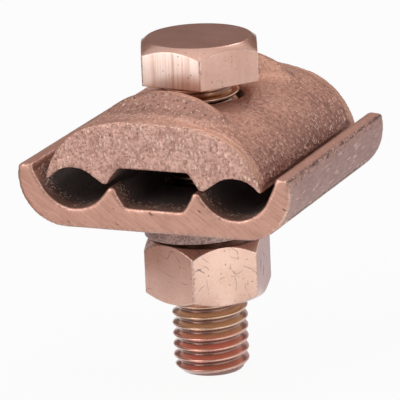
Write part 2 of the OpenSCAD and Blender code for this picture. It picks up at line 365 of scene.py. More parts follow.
@dataclass(frozen=True)
class SawnCopper(Finish):
    """Copper alloy profile: sawn ends, dull sides, a pitted rim, bright burrs with painted glints and edge highlights,
    a dark skin in the grooves deepened by painted shade.
    """

    name: str = "sawn_copper_profile"
    light: Colour = (0.60, 0.335, 0.26)
    dull: Colour = (0.47, 0.25, 0.19)
    side: Colour = (0.43, 0.265, 0.235)
    side_dull: Colour = (0.34, 0.205, 0.185)
    rim: Colour = (0.48, 0.28, 0.23)
    rim_dull: Colour = (0.30, 0.16, 0.13)
    pit: Colour = (0.10, 0.05, 0.042)
    burr: Colour = (0.88, 0.66, 0.57)
    skin: Colour = (0.16, 0.125, 0.118)
    mouth: Colour = (0.22, 0.13, 0.10)
    metallic: float = 0.85
    saw_deg: float = -35.0
    saw_size: float = 0.32
    cloud_size: float = 5.0
    grain_size: float = 0.36
    rub_size: float = 0.5
    dash_size: float = 0.55
    speck_size: float = 0.42
    patch_size: float = 3.5

    def surface(self, paint: Paint) -> Values:
        """Lay out the profile's look.

        Args:
            paint: the material's nodes.

        Returns:
            Wires and constants by socket name.
        """
        inside, outer, rim, edge, lip = map(paint.mark, ("inside", "flank", "worked", "edge", "lip_inner"))
        x, y, z = paint.spread(paint.place)
        c, s = math.cos(math.radians(self.saw_deg)), math.sin(math.radians(self.saw_deg))
        cut = paint.wire("ShaderNodeCombineXYZ", {0: (x * c + z * s) * 0.12, 1: y, 2: z * c - x * s})
        rubbed, worn, holed = (paint.stretch(paint.place, (1.0, along, 1.0)) for along in (0.35, 0.16, 0.3))
        cloud = paint.noise(self.cloud_size, 3.0)
        grain = paint.noise(self.grain_size, 2.0, 0.6)
        saw = paint.noise(self.saw_size, at=cut)
        rub = paint.noise(self.rub_size, 3.0, 0.6, at=rubbed)

        # Sawn ends, rubbed sides and the rim of the lips
        front = paint.mix((saw * 0.5 + cloud * 0.3 + grain * 0.2).step(0.34, 0.64), self.dull, self.light)
        flat = paint.mix((rub * 0.6 + cloud * 0.4).step(0.38, 0.62), self.side_dull, self.side)
        bright = paint.noise(self.rub_size, at=worn).step(0.6, 0.68)
        body = paint.mix(outer, front, paint.mix(bright * 0.35, flat, self.burr))
        body = paint.mix(rim * 0.8, body, paint.mix(grain.step(0.4, 0.6), self.rim_dull, self.rim))
        body = paint.mix(lip * (0.5 + cloud * 0.5), body, self.light)

        # Dark dashes on the ends, holes in the rim, and bright burrs, with painted glints on the rim and painted
        # highlights along the edges
        dashes = paint.noise(self.dash_size, at=paint.stretch(cut, (2.2, 1.0, 1.0))).step(0.33, 0.28) * (1.0 - outer)
        holes = paint.noise(self.rub_size, at=holed).step(0.42, 0.34)
        holes = holes * (rim * 0.8 * (1.0 - lip) + outer * 0.1)
        body = paint.mix(dashes * 0.7 + holes, body, self.pit)
        shine = paint.dots(self.rub_size, 0.12) * (0.1 + rim * 0.5) + edge * grain.step(0.5, 0.66) * 0.45
        body = paint.mix(shine, body, self.burr)
        body = paint.mix(edge * rim * rub.step(0.52, 0.44) * 0.8, body, self.pit)

        # The grooves' dark skin, deepened from the mouth inwards by painted shade, with bright specks near their
        # mouths
        dark = paint.mix(inside.step(0.2, 0.9), self.mouth, self.skin)
        body = paint.mix(paint.math("MINIMUM", inside * 2.5, 1.0), body, dark)
        # The bright specks are painted glints
        patch = paint.noise(self.patch_size).step(0.36, 0.54)
        speck = paint.noise(self.speck_size, 1.0, 0.5, 0.4).step(0.54, 0.64) * patch
        speck = speck * inside.step(0.02, 0.12) * inside.step(0.95, 0.3)
        body = paint.mix(speck, body, self.burr)

        grit = 0.02 + rim * (1.0 - lip) * 0.1 + inside * 0.2
        height = saw * (1.0 - outer) * 0.06 + rub * outer * 0.05 + grain * grit
        return {
            "Base Color": body,
            "Metallic": self.metallic,
            "Roughness": 0.42 + saw * 0.12 + outer * 0.08 + dashes * 0.2 + inside * 0.2 - edge * 0.1 - speck * 0.15,
            "Normal": paint.bump(height - (dashes + holes) * 0.03 + speck * 0.15),
        }


@dataclass(frozen=True)
class PlatedSteel(Finish):
    """Copper-plated steel under a thin gloss: drawn flats with painted sheen, fine scratches, a golden and red thread
    with painted shade and highlights.
    """

    name: str = "drawn_plated_steel"
    light: Colour = (0.65, 0.37, 0.285)
    deep: Colour = (0.55, 0.29, 0.215)
    lathe: Colour = (0.46, 0.235, 0.165)
    gold: Colour = (0.54, 0.335, 0.20)
    red: Colour = (0.61, 0.245, 0.18)
    rust: Colour = (0.55, 0.25, 0.165)
    crest: Colour = (0.66, 0.43, 0.35)
    root: Colour = (0.20, 0.075, 0.05)
    worn: Colour = (0.84, 0.68, 0.60)
    speck: Colour = (0.15, 0.075, 0.06)
    coat_rough: float = 0.22
    coat_ior: float = 1.8
    cloud_size: float = 6.0
    grain_size: float = 0.4
    draw_size: float = 0.8
    rust_size: float = 3.0
    speck_size: float = 0.55
    scratch_size: float = 5.0
    scratch_length: float = 2.4
    scratch_turns: tuple[Triple, ...] = ((0.4, 0.9, 0.3), (1.2, -0.5, 0.8))
    scratched_z: Pair = (32.0, 26.0)
    gold_z: Pair = (6.2, 7.6)
    end_z: Pair = (2.2, 0.3)

    def surface(self, paint: Paint) -> Values:
        """Lay out the plating's look.

        Args:
            paint: the material's nodes.

        Returns:
            Wires and constants by socket name.
        """
        thread, crest, root, corner, drawn, turned, nick = map(paint.mark, PLATED_MARKS)
        plain = 1.0 - thread
        up = paint.spread(paint.place)[2]
        scratched, golden, end = (up.step(a * MM, b * MM) for a, b in (self.scratched_z, self.gold_z, self.end_z))
        cloud = paint.noise(self.cloud_size, 3.0)
        grain = paint.noise(self.grain_size, 2.0, 0.6)

        # Drawn flats, whose streaks are stronger on some flats as painted sheen, and turned chamfers
        draw = paint.noise(self.draw_size, 3.0, 0.65, at=paint.stretch(paint.place, (1.0, 1.0, 0.03)))
        streak = draw.step(0.34, 0.58) * drawn
        body = paint.mix((cloud * 0.7 + grain * 0.3).step(0.34, 0.66), self.deep, self.light)
        body = paint.mix(turned * 0.8, body, self.lathe)
        body = paint.mix(streak * 0.75, body, self.worn)

        # The thread: golden near the nut, red below, painted shade in its roots, darker at its end, and painted
        # highlights on its crests
        red = paint.mix(paint.noise(self.rust_size).step(0.46, 0.62), self.red, self.rust)
        tint = paint.mix(root, paint.mix(golden, red, self.gold), self.root)
        tint = paint.mix(end * 0.55, tint, self.root)
        tint = paint.mix(crest * grain.step(0.3, 0.6), tint, self.crest)
        body = paint.mix(thread, body, tint)

        # Specks, the nut's scratches and worn corners
        scratch = sum(self.scratches(paint, turn) for turn in self.scratch_turns)
        specks = paint.dots(self.speck_size, 0.16, 0.3) + corner * paint.dots(self.grain_size, 0.4, 0.5)
        marks = (specks * 0.65 + scratch * scratched * 0.85) * plain
        body = paint.mix(marks, body, self.speck)
        body = paint.mix((corner * 0.3 + nick * 0.6) * grain.step(0.42, 0.58) * plain, body, self.worn)

        rough = 0.34 + grain * 0.06 + drawn * 0.12 - streak * 0.08 - thread * 0.14
        relief = draw * drawn * 0.03 + grain * 0.004 * plain + crest * grain * 0.012 - marks * 0.02
        return {
            "Base Color": body,
            "Metallic": 1.0,
            "Roughness": rough + crest * grain * 0.15 + marks * 0.2,
            "Coat Weight": 1.0,
            "Coat Roughness": self.coat_rough,
            "Coat IOR": self.coat_ior,
            "Normal": paint.bump(relief),
        }

    def scratches(self, paint: Paint, turn: Triple) -> Wire:
        """Thin curved scratches, broken into short lengths.

        Args:
            paint: the material's nodes.
            turn: how their pattern is turned, in radians about each axis.

        Returns:
            1 in a scratch and 0 outside.
        """
        turned = paint.wire("ShaderNodeMapping", {"Vector": paint.place, "Rotation": turn})
        level = paint.noise(self.scratch_size, 1.0, 0.4, at=turned)
        line = level.step(0.4935, 0.5) * level.step(0.5065, 0.5)
        return line * paint.noise(self.scratch_length, 1.0, at=turned).step(0.5, 0.58)


@dataclass(frozen=True)
class WasherSteel(Finish):
    """Thinly plated spring steel, speckled."""

    name: str = "speckled_washer_steel"
    light: Colour = (0.42, 0.275, 0.24)
    dark: Colour = (0.17, 0.105, 0.095)
    metallic: float = 0.9
    grain_size: float = 0.32
    grain_depth: float = 0.04

    def surface(self, paint: Paint) -> Values:
        """Lay out the washer's look.

        Args:
            paint: the material's nodes.

        Returns:
            Wires and constants by socket name.
        """
        grain = paint.noise(self.grain_size, 3.0, 0.6)
        return {
            "Base Color": paint.mix(grain.step(0.34, 0.6), self.dark, self.light),
            "Metallic": self.metallic,
            "Roughness": 0.4 + grain * 0.2,
            "Normal": paint.bump(grain, self.grain_depth),
        }


def add(name: str, data: Any) -> Thing:
    """Put a mesh, a lamp or a camera into the scene as an object at the origin.

    Args:
        name: the object's name.
        data: what it holds.

    Returns:
        The object.
    """
    made = bpy.data.objects.new(name, data)
    bpy.context.scene.collection.objects.link(made)
    return made


def freeze(piece: Thing) -> None:
    """Turn a piece's modifiers into a plain mesh with one material at most, and remove them.

    Args:
        piece: the piece to change.
    """
    bpy.context.view_layer.update()
    graph = bpy.context.evaluated_depsgraph_get()
    shown = piece.evaluated_get(graph)
    plain = bpy.data.meshes.new_from_object(shown, preserve_all_data_layers=True, depsgraph=graph)
    plain.name = piece.name
    piece.modifiers.clear()
    piece.data = plain
    made = [material for material in plain.materials if material]
    plain.materials.clear()
    for material in made[:1]:
        plain.materials.append(material)
    plain.polygons.foreach_set("material_index", np.zeros(len(plain.polygons), dtype=np.int32))


def outward(mesh: Mesh, merge: float = 0.0, source: Mesh | None = None) -> None:
    """Merge doubled vertices and turn the faces outwards.

    Args:
        mesh: the mesh to change.
        merge: distance within which vertices are merged, in millimetres.
        source: the mesh to start from, if another.
    """
    work = bmesh.new()
    work.from_mesh(source or mesh)
    if merge:
        bmesh.ops.remove_doubles(work, verts=work.verts, dist=merge * MM)
    bmesh.ops.recalc_face_normals(work, faces=work.faces)
    work.to_mesh(mesh)
    work.free()


def shade(mesh: Mesh) -> None:
    """Shade a mesh smooth all over."""
    mesh.polygons.foreach_set("use_smooth", np.ones(len(mesh.polygons), dtype=bool))
    mesh.update()


def store(mesh: Mesh, shares: Shares) -> None:
    """Store numbers on a mesh, one for each vertex, for its material to read under their names."""
    for name, values in shares.items():
        mesh.attributes.new(name, "FLOAT", "POINT").data.foreach_set("value", values.astype(np.float32))


def ramp(values: np.ndarray, low: float, high: float) -> np.ndarray:
    """Rise smoothly from 0 at low to 1 at high, over an array."""
    share = np.clip((values - low) / (high - low), 0.0, 1.0)
    return share * share * (3.0 - 2.0 * share)


class Net:
    """A mesh's vertices, in millimetres, with their normals and their neighbours."""

    def __init__(self, mesh: Mesh) -> None:
        """Read a mesh.

        Args:
            mesh: the mesh to read.
        """
        size = len(mesh.vertices)
        ends = np.zeros(len(mesh.edges) * 2, dtype=np.int64)
        mesh.edges.foreach_get("vertices", ends)
        a, b = ends.reshape(-1, 2).T
        self.here, self.there = np.concatenate([a, b]), np.concatenate([b, a])
        self.count = np.maximum(np.bincount(self.here, minlength=size), 1)
        place, normal = np.zeros((2, size * 3))
        mesh.vertices.foreach_get("co", place)
        mesh.vertices.foreach_get("normal", normal)
        self.place, self.normal = place.reshape(-1, 3) / MM, normal.reshape(-1, 3)

    def average(self, values: np.ndarray) -> np.ndarray:
        """Give the mean over each vertex's neighbours.

        Args:
            values: one number, or one row of numbers, for each vertex.

        Returns:
            The means, in the same form.
        """
        if values.ndim > 1:
            return np.stack([self.average(column) for column in values.T], axis=1)
        return np.bincount(self.here, values[self.there], len(self.count)) / self.count

    def convexity(self, place: np.ndarray) -> np.ndarray:
        """Say how far each vertex, at this place, stands out from its neighbours, positive on outer edges."""
        return np.einsum("ij,ij->i", place - self.average(place), self.normal)


class Tree(Graph):
    """A Geometry Nodes tree with named inputs."""

    SOCKETS = {"float": "NodeSocketFloat", "int": "NodeSocketInt", "Material": "NodeSocketMaterial"}

    def __init__(self, name: str, sizes: Values, takes_mesh: bool = False) -> None:
        """Make the tree and its inputs.

        Args:
            name: the tree's name.
            sizes: the value of each named input: a number, a count or a material.
            takes_mesh: whether it works on the piece's own mesh.
        """
        super().__init__(bpy.data.node_groups.new(name, "GeometryNodeTree"))
        self.values: Values = {}
        face = self.tree.interface
        for way in ("OUTPUT", "INPUT") if takes_mesh else ("OUTPUT",):
            face.new_socket("Geometry", in_out=way, socket_type="NodeSocketGeometry")
        for label, value in sizes.items():
            kind = self.SOCKETS[type(value).__name__]
            self.values[face.new_socket(label, in_out="INPUT", socket_type=kind).identifier] = value
        self.inputs = self.node("NodeGroupInput")

    def take(self, label: str) -> Wire:
        """Read a named input."""
        return Wire(self, self.inputs.outputs[label])

    def put_on(self, piece: Thing, shape: Wire) -> None:
        """End the tree, give it to a piece as a modifier and freeze the piece.

        Args:
            piece: the piece that gets it.
            shape: the finished geometry, which is given the material of the input "Material".
        """
        smooth = self.wire("GeometryNodeSetShadeSmooth", {0: shape})
        real = self.wire("GeometryNodeRealizeInstances", {0: smooth})
        dressed = self.wire("GeometryNodeSetMaterial", {"Geometry": real, "Material": self.take("Material")})
        self.node("NodeGroupOutput", {0: dressed})
        modifier = piece.modifiers.new(self.tree.name, "NODES")
        modifier.node_group = self.tree
        for identifier, value in self.values.items():
            modifier[identifier] = value
        freeze(piece)


@dataclass
class Piece:
    """One piece of the connector, the solid that it stands for, its body, slot and finish. Sizes in millimetres."""

    name: str
    node: str
    body: Body
    slot: str
    finish: Finish

    def shape(self, piece: Thing) -> None:
        """Give the piece its mesh, with its material and the marks that the material reads."""
        raise NotImplementedError

    def build(self) -> Thing:
        """Shape the piece with its material, attach it to the body that it rides on, and hide the imported solid that
        it stands for.

        Returns:
            The finished piece.
        """
        piece = add(self.name, bpy.data.meshes.new(self.name))
        self.shape(piece)
        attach(piece, self.body.value)
        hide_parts(self.node)
        return piece


@dataclass
class Jaw(Piece):
    """One of the two clamping jaws: its solid, with cast edges and a cast surface."""

    depth: float = 40.7
    merge: float = 0.002
    voxel: float = 0.3
    rounding: int = 5
    edge_from: float = 0.012
    edge_to: float = 0.04
    swell: float = 0.10
    swell_size: float = 1.6
    swell_seed: float = 3.0

    def form(self, net: Net) -> np.ndarray:
        """Give the vertices' places in the casting's own form."""
        raise NotImplementedError

    def zones(self, net: Net) -> Shares:
        """Say where the surface changes, as a share from 0 to 1 for each named zone."""
        raise NotImplementedError

    def end_share(self, net: Net) -> np.ndarray:
        """Give 1 on the jaw's two end faces and 0 elsewhere."""
        flat = ramp(np.abs(net.normal[:, 1]), 0.6, 0.85)
        return flat * ramp(np.abs(net.place[:, 1]), self.depth / 2 - 0.8, self.depth / 2 - 0.3)

    def cover(self, piece: Thing) -> None:
        """Lay a gently swollen cast surface over the mesh.

        Args:
            piece: the piece that gets it.
        """
        sizes = {"Swell": self.swell * MM, "Swell Size": self.swell_size * MM, "Seed": self.swell_seed}
        tree = Tree(self.name + "_surface", {**sizes, "Material": self.finish.material()}, takes_mesh=True)
        values = {
            "Vector": tree.wire("GeometryNodeInputPosition"),
            "W": tree.take("Seed"),
            "Scale": 1.0 / tree.take("Swell Size"),
        }
        rise = (tree.wire("ShaderNodeTexNoise", values, "Fac", noise_dimensions="4D") - 0.5) * tree.take("Swell")
        normal = tree.wire("GeometryNodeInputNormal")
        lift = tree.wire("ShaderNodeVectorMath", {0: normal, "Scale": rise}, operation="SCALE")
        tree.put_on(piece, tree.wire("GeometryNodeSetPosition", {0: tree.take("Geometry"), "Offset": lift}))

    def shape(self, piece: Thing) -> None:
        """Round the solid's edges, give it a cast form and surface and mark its zones.

        Args:
            piece: the piece to shape.
        """
        outward(piece.data, self.merge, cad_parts[self.node].data)
        remesh = piece.modifiers.new("even", "REMESH")
        remesh.mode = "VOXEL"
        remesh.voxel_size = self.voxel * MM
        soften = piece.modifiers.new("soften", "SMOOTH")
        soften.factor = 0.5
        soften.iterations = self.rounding
        freeze(piece)
        piece.data.vertices.foreach_set("co", (self.form(Net(piece.data)) * MM).ravel())
        piece.data.update()
        net = Net(piece.data)
        edge = ramp(net.convexity(net.place), self.edge_from, self.edge_to)
        store(piece.data, {**self.zones(net), "edge": edge})
        self.cover(piece)


@dataclass
class UpperJaw(Jaw):
    """Vaulted saddle with a hump before and behind the bolt head."""

    seat_z: float = SEAT_Z
    hole_r: float = THREAD_D / 2 + 0.75
    side_x: float = GROOVE_SPACING / 2 + 4.95
    vault_r: float = 36.0
    vault_rise: float = 0.75
    shoulder_r: float = 11.85
    hump_inset: float = 6.55
    end_r: float = 0.4
    hem_z: float = 35.9
    dish_from: float = 0.6
    dish_depth: float = 0.5
    dish_width: float = 4.2
    hollow_reach: int = 6
    hollow_rounds: int = 40
    channel_x: float = 10.0
    channel_y: float = 12.5
    band_width: float = 2.6

    def over_crest(self, y: np.ndarray) -> np.ndarray:
        """Measure along the cables, outwards from the humps' crests."""
        return np.abs(y) - (self.depth / 2 - self.hump_inset)

    def over_vault(self, x: np.ndarray, z: np.ndarray) -> tuple[np.ndarray, np.ndarray, np.ndarray]:
        """Measure from the vault's outline.

        Args:
            x: places across the cables, in millimetres.
            z: heights, in millimetres.

        Returns:
            How far each point stands over the vault, and the direction out of it in x and z.
        """
        shoulder_x = self.side_x - self.shoulder_r
        reach = self.vault_r - self.shoulder_r
        vault_z = self.seat_z + self.vault_rise - self.vault_r
        on_top = np.abs(x) < shoulder_x * self.vault_r / reach
        out_x = x - np.where(on_top, 0.0, np.sign(x) * shoulder_x)
        out_z = z - np.where(on_top, vault_z, vault_z + math.sqrt(reach**2 - shoulder_x**2))
        far = np.hypot(out_x, out_z)
        return far - np.where(on_top, self.vault_r, self.shoulder_r), out_x / far, out_z / far

    def form(self, net: Net) -> np.ndarray:
        """Dish the humps' outer slopes, fill the hollows at their feet and ease the ends of the vault.

        Args:
            net: the vertices.

        Returns:
            Their new places, in millimetres.
        """
        place = net.place.copy()
        rise = self.over_vault(place[:, 0], place[:, 2])[0]
        along = np.clip((self.over_crest(place[:, 1]) - self.dish_from) / self.dish_width, 0.0, 1.0)
        place[:, 2] -= self.dish_depth * np.sin(math.pi * along) * ramp(rise, 0.3, 1.5)

        hollow = ramp(-net.convexity(place), 0.004, 0.015) * ramp(net.normal[:, 2], 0.2, 0.4)
        for _ in range(self.hollow_reach):
            hollow = np.clip(np.maximum(hollow, net.average(hollow) * 1.6), 0.0, 1.0)
        for _ in range(self.hollow_rounds):
            place = place + 0.5 * hollow[:, None] * (net.average(place) - place)

        x, y, z = place.T
        rise, out_x, out_z = self.over_vault(x, z)
        rise = rise + self.end_r
        start = self.depth / 2 - self.end_r
        past = np.abs(y) - start
        beyond = np.hypot(rise, past)
        corner = (rise > 0.0) & (past > 0.0) & (beyond > self.end_r)
        share = np.where(corner, self.end_r / np.maximum(beyond, 1e-6), 1.0)
        shift = rise * (share - 1.0)
        new_y = np.where(corner, np.sign(y) * (start + past * share), y)
        return np.stack([x + out_x * shift, new_y, z + out_z * shift], axis=1)

    def zones(self, net: Net) -> Shares:
        """Say where the surface changes.

        Args:
            net: the vertices.

        Returns:
            A share from 0 to 1 for each named zone.
        """
        x, y, z = net.place.T
        inset = self.depth / 2 - np.abs(y)
        rise, over = self.over_vault(x, z)[0], self.over_crest(y)
        end, top = self.end_share(net), ramp(net.normal[:, 2], 0.15, 0.4)
        # The underside, deeper in from the ends, and the bolt hole are marked for the dark skin and its painted shade
        under = ramp(-net.normal[:, 2], 0.0, 0.35) * ramp(inset, 0.4, 4.5)
        hole = ramp(self.hole_r + 0.1 - np.hypot(x, y), 0.0, 0.3)
        channel = ramp(self.channel_y - np.abs(y), 0.0, 2.0) * ramp(self.channel_x - np.abs(x), 0.0, 4.0)
        slope = ramp(-net.normal[:, 1] * np.sign(y), 0.25, 0.5)
        crest = ramp(rise, 0.8, 1.6) * ramp(1.0 - over, 0.0, 0.8)
        hem = ramp(np.abs(net.normal[:, 0]), 0.6, 0.8) * ramp(self.hem_z - z, -0.4, 0.0)
        band = top * (1.0 - end) * ramp(self.band_width - inset, 0.0, 1.2) * (0.4 + 0.5 * ramp(x, -8.0, 8.0))
        worked = [top * channel * 0.8, top * slope * 0.8, crest * 0.65, band, hem]
        return {
            "inside": np.maximum(under, hole),
            "flank": (1.0 - end) * (0.45 + 0.55 * ramp(np.abs(x), 5.0, 14.0)),
            "worked": np.clip(np.maximum.reduce(worked), 0.0, 1.0),
            "dish": ramp(rise, 0.2, 0.8) * ramp(over, -2.0, -0.8) * (1.0 - end),
        }


@dataclass
class LowerJaw(Jaw):
    """Tray with a lip on each side, two grooves and a flat recess."""

    bottom_z: float = LOWER_Z
    side_x: float = GROOVE_SPACING / 2 + 9.3
    lip_height: float = 9.65
    lip_r: float = 1.284
    lip_power: float = 4.5
    right_rise: float = 0.4

    def form(self, net: Net) -> np.ndarray:
        """Flatten the tops of the lips, and let the right one stand a little higher.

        Args:
            net: the vertices.

        Returns:
            Their new places, in millimetres.
        """
        x, y, z = net.place.T
        middle_z = self.bottom_z + self.lip_height - self.lip_r
        across, rise = np.abs(x) - (self.side_x - self.lip_r), z - middle_z
        far = np.maximum(np.hypot(across, rise), 1e-6)
        spread = np.abs(across / far) ** self.lip_power + np.abs(rise / far) ** self.lip_power
        on_lip = (rise > 0.0) & (np.abs(across) < 2.0 * self.lip_r)
        scale = np.where(on_lip, spread ** (-1.0 / self.lip_power), 1.0)
        lift = self.right_rise * (x > 0.0) * ramp(z, middle_z - 2.5, middle_z + 0.6)
        new_x = np.sign(x) * (np.abs(x) + across * (scale - 1.0))
        return np.stack([new_x, y, middle_z + rise * scale + lift], axis=1)

    def zones(self, net: Net) -> Shares:
        """Say where the surface changes.

        Args:
            net: the vertices.

        Returns:
            A share from 0 to 1 for each named zone.
        """
        x, y, z = net.place.T
        top_z = self.bottom_z + self.lip_height
        end = self.end_share(net)
        # The grooves are marked deeper in from the ends for the dark skin and its painted shade
        deep = ramp(self.depth / 2 - np.abs(y), 0.2, 7.0)
        inner = ramp(z, self.bottom_z + 2.2, self.bottom_z + 2.8) * ramp(self.side_x - np.abs(x), 1.2, 2.2)
        lip = ramp(z, top_z - 1.2, top_z - 0.4)
        return {
            "inside": inner * deep * ramp(top_z - z, 0.6, 2.2) * (1.0 - end),
            "flank": (1.0 - end) * (1.0 - inner),
            "worked": lip * (1.0 - end),
            "lip_inner": lip * ramp(-net.normal[:, 0] * np.sign(x), -0.45, 0.0),
        }


@dataclass
class HexPiece(Piece):
    """A hexagon turned from bar: flats with slightly rounded corners, cut back by a chamfer."""

    across_flats: float = 18.0
    face_d: float = 16.4
    chamfer_deg: float = 30.0
    corner_power: float = 220.0
    around: int = 360
    edge_r: float = 0.16
    edge_steps: int = 3
    merge: float = 0.001
    flat_shares: tuple[float, ...] = (0.06, 0.6, 0.9, 0.5, 0.8, 1.0)

    def reach(self, angle: float, turn_deg: float) -> float:
        """Give the distance from the axis to the flats.

        Args:
            angle: direction about the axis, in radians from +X.
            turn_deg: where a corner points, in degrees from the front.

        Returns:
            The distance, in millimetres.
        """
        flats = [math.radians(turn_deg - 60.0 + 60.0 * k) for k in range(6)]
        total = sum(max(0.0, math.cos(angle - flat)) ** self.corner_power for flat in flats)
        return self.across_flats / 2 * total ** (-1.0 / self.corner_power)

    def store_plated(self, mesh: Mesh, shares: Shares) -> None:
        """Store every mark that the plated finish reads, with 0 for those not given."""
        store(mesh, {name: shares.get(name, np.zeros(len(mesh.vertices))) for name in PLATED_MARKS})

    def mark_hexagon(self, mesh: Mesh, turn_deg: float, drawn: float) -> None:
        """Mark the corners, chamfers and drawn flats of a hexagon's mesh.

        Args:
            mesh: the mesh to mark.
            turn_deg: where a corner points, in degrees from the front.
            drawn: how much its flats show drawing lines.
        """
        net = Net(mesh)
        x, y, _ = net.place.T
        tilt = np.abs(net.normal[:, 2])
        outer = np.hypot(x, y) > self.across_flats / 2 + 0.2
        around = np.degrees(np.arctan2(y, x)) - (turn_deg - 90.0)
        away = np.abs((around + 30.0) % 60.0 - 30.0)
        # The streaks' strength differs from flat to flat: painted sheen, lighter on the flats that catch more light
        shares = np.array(self.flat_shares)[np.floor(around / 60.0).astype(int) % 6]
        marks = {
            "turned": ramp(tilt, 0.25, 0.5) * ramp(-tilt, -0.97, -0.9),
            "nick": outer * ramp(tilt, 0.08, 0.2) * ramp(-tilt, -0.6, -0.45),
            "corner": outer * ramp(-away, -1.6, -0.4),
            "drawn": drawn * ramp(-tilt, -0.5, -0.25) * shares,
        }
        self.store_plated(mesh, marks)

    def rounded(self, line: Section, closed: bool) -> Section:
        """Round a section's corners.

        Args:
            line: corners as radius and height, in millimetres.
            closed: whether the last corner joins the first.

        Returns:
            The section with each corner as a short arc.
        """
        out: Section = []
        count = len(line)
        for k, here in enumerate(line):
            if not closed and k in (0, count - 1):
                out.append(here)
                continue
            sides = []
            for other in (line[k - 1], line[(k + 1) % count]):
                span = (other[0] - here[0], other[1] - here[1])
                length = math.hypot(*span) or 1.0
                cut = min(self.edge_r, 0.45 * length)
                sides.append((here[0] + span[0] / length * cut, here[1] + span[1] / length * cut))
            for step in range(self.edge_steps + 1):
                t = step / self.edge_steps
                a, b, c = (1 - t) ** 2, 2 * t * (1 - t), t * t
                out.append(tuple(a * sides[0][i] + b * here[i] + c * sides[1][i] for i in (0, 1)))
        return out

    def loft(self, mesh: Mesh, section: Callable[[float], Section], closed: bool) -> None:
        """Carry a section round the axis.

        Args:
            mesh: the empty mesh that gets the shape and its material.
            section: gives the section at an angle, as radius and height.
            closed: whether the section is a loop, or runs from the axis to the axis.
        """
        spots, faces = [], []
        for k in range(self.around):
            angle = math.tau * k / self.around
            ring = self.rounded(section(angle), closed)
            spots += [(r * math.cos(angle) * MM, r * math.sin(angle) * MM, z * MM) for r, z in ring]
            count = len(ring)
            a, b = k * count, (k + 1) % self.around * count
            for j in range(count if closed else count - 1):
                n = (j + 1) % count
                faces.append((a + j, b + j, b + n, a + n))
        mesh.from_pydata(spots, [], faces)
        outward(mesh, self.merge)
        mesh.materials.append(self.finish.material())


@dataclass
class HexBolt(HexPiece):
    """Bolt with a hexagon head, threaded over its whole length."""

    length: float = BOLT_LENGTH
    head_height: float = 6.45
    washer_face: float = 0.06
    head_turn: float = 23.0
    thread_d: float = THREAD_D
    pitch: float = 1.75
    thread_depth: float = 1.073
    thread_start: float = 80.0
    thread_sides: int = 96
    thread_rows: int = 14
    thread_merge: float = 0.004

    def wind(self, piece: Thing) -> None:
        """Wind the thread round the shank.

        Args:
            piece: the piece that gets it.
        """
        turns = math.ceil(self.length / self.pitch) + 2
        sizes = {
            "Length": self.length * MM,
            "Pitch": self.pitch * MM,
            "Crest Radius": self.thread_d / 2 * MM,
            "Depth": self.thread_depth * MM,
            "Around": self.thread_sides,
            "Rows": turns * self.thread_rows,
            "Turns": turns,
            "Start": self.thread_start / 360.0,
            "Material": self.finish.material(),
        }
        tree = Tree("bolt_thread", sizes)
        length, core = tree.take("Length"), tree.take("Crest Radius") - tree.take("Depth")
        counts = {"Vertices X": tree.take("Around") + 1, "Vertices Y": tree.take("Rows") + 1}
        sheet = tree.wire("GeometryNodeMeshGrid", {"Size X": 1.0, "Size Y": 1.0, **counts})

        # Each row of the sheet winds up the shank, and the thread runs out at both ends
        across, along, _ = tree.spread(tree.wire("GeometryNodeInputPosition"))
        wound = (along + 0.5) * tree.take("Turns")
        height = (wound + (across + 0.5) - 1.0 - tree.take("Start")) * tree.take("Pitch")
        height = tree.math("MINIMUM", tree.math("MAXIMUM", height, 0.0), length)
        form = (1.0 - tree.math("PINGPONG", wound, 0.5) * 2.0).step(0.06, 0.98)
        radius = core + tree.take("Depth") * form
        for run_out in (height, length - height):
            radius = tree.math("MINIMUM", radius, core + run_out)
        spot = tree.around(radius, (across + 0.5) * math.tau, height)
        wall = tree.wire("GeometryNodeSetPosition", {"Geometry": sheet, "Position": spot})

        # A disc closes each end
        fan = {"Vertices": tree.take("Around"), "Radius": core}
        disc = tree.wire("GeometryNodeMeshCircle", fan, fill_type="TRIANGLE_FAN")
        up = tree.wire("ShaderNodeCombineXYZ", {2: length})
        lifted = tree.wire("GeometryNodeTransform", {"Geometry": disc, "Translation": up})
        join = tree.node("GeometryNodeJoinGeometry")
        for part in (lifted, disc, wall):
            tree.tree.links.new(part.socket, join.inputs[0])
        merge = {0: Wire(tree, join.outputs[0]), "Distance": self.thread_merge * MM}
        tree.put_on(piece, tree.wire("GeometryNodeMergeByDistance", merge))

    def head_section(self, angle: float) -> Section:
        """Give the head's section from the axis below to the axis above.

        Args:
            angle: direction about the axis, in radians.

        Returns:
            Its corners as radius and height, in millimetres.
        """
        out, face = self.reach(angle, self.head_turn), self.face_d / 2
        low, top = self.length + self.washer_face, self.length + self.head_height
        shoulder = top - (out - face) * math.tan(math.radians(self.chamfer_deg))
        under = [(0.0, self.length), (face, self.length), (face, low)]
        return [*under, (out, low), (out, shoulder), (face, top), (0.0, top)]

    def shape(self, piece: Thing) -> None:
        """Wind the thread, mark its crests and roots, and set the head on it.

        Args:
            piece: the piece to shape.
        """
        self.wind(piece)
        outward(piece.data)
        x, y, _ = Net(piece.data).place.T
        depth = self.thread_d / 2 - np.hypot(x, y)
        marks = {"thread": np.ones(len(x)), "crest": ramp(-depth, -0.06, -0.01), "root": ramp(depth, 0.8, 1.05)}
        self.store_plated(piece.data, marks)
        head = bpy.data.meshes.new("head")
        self.loft(head, self.head_section, False)
        self.mark_hexagon(head, self.head_turn, 1.0)
        both = bmesh.new()
        both.from_mesh(piece.data)
        both.from_mesh(head)
        both.to_mesh(piece.data)
        both.free()
        shade(piece.data)


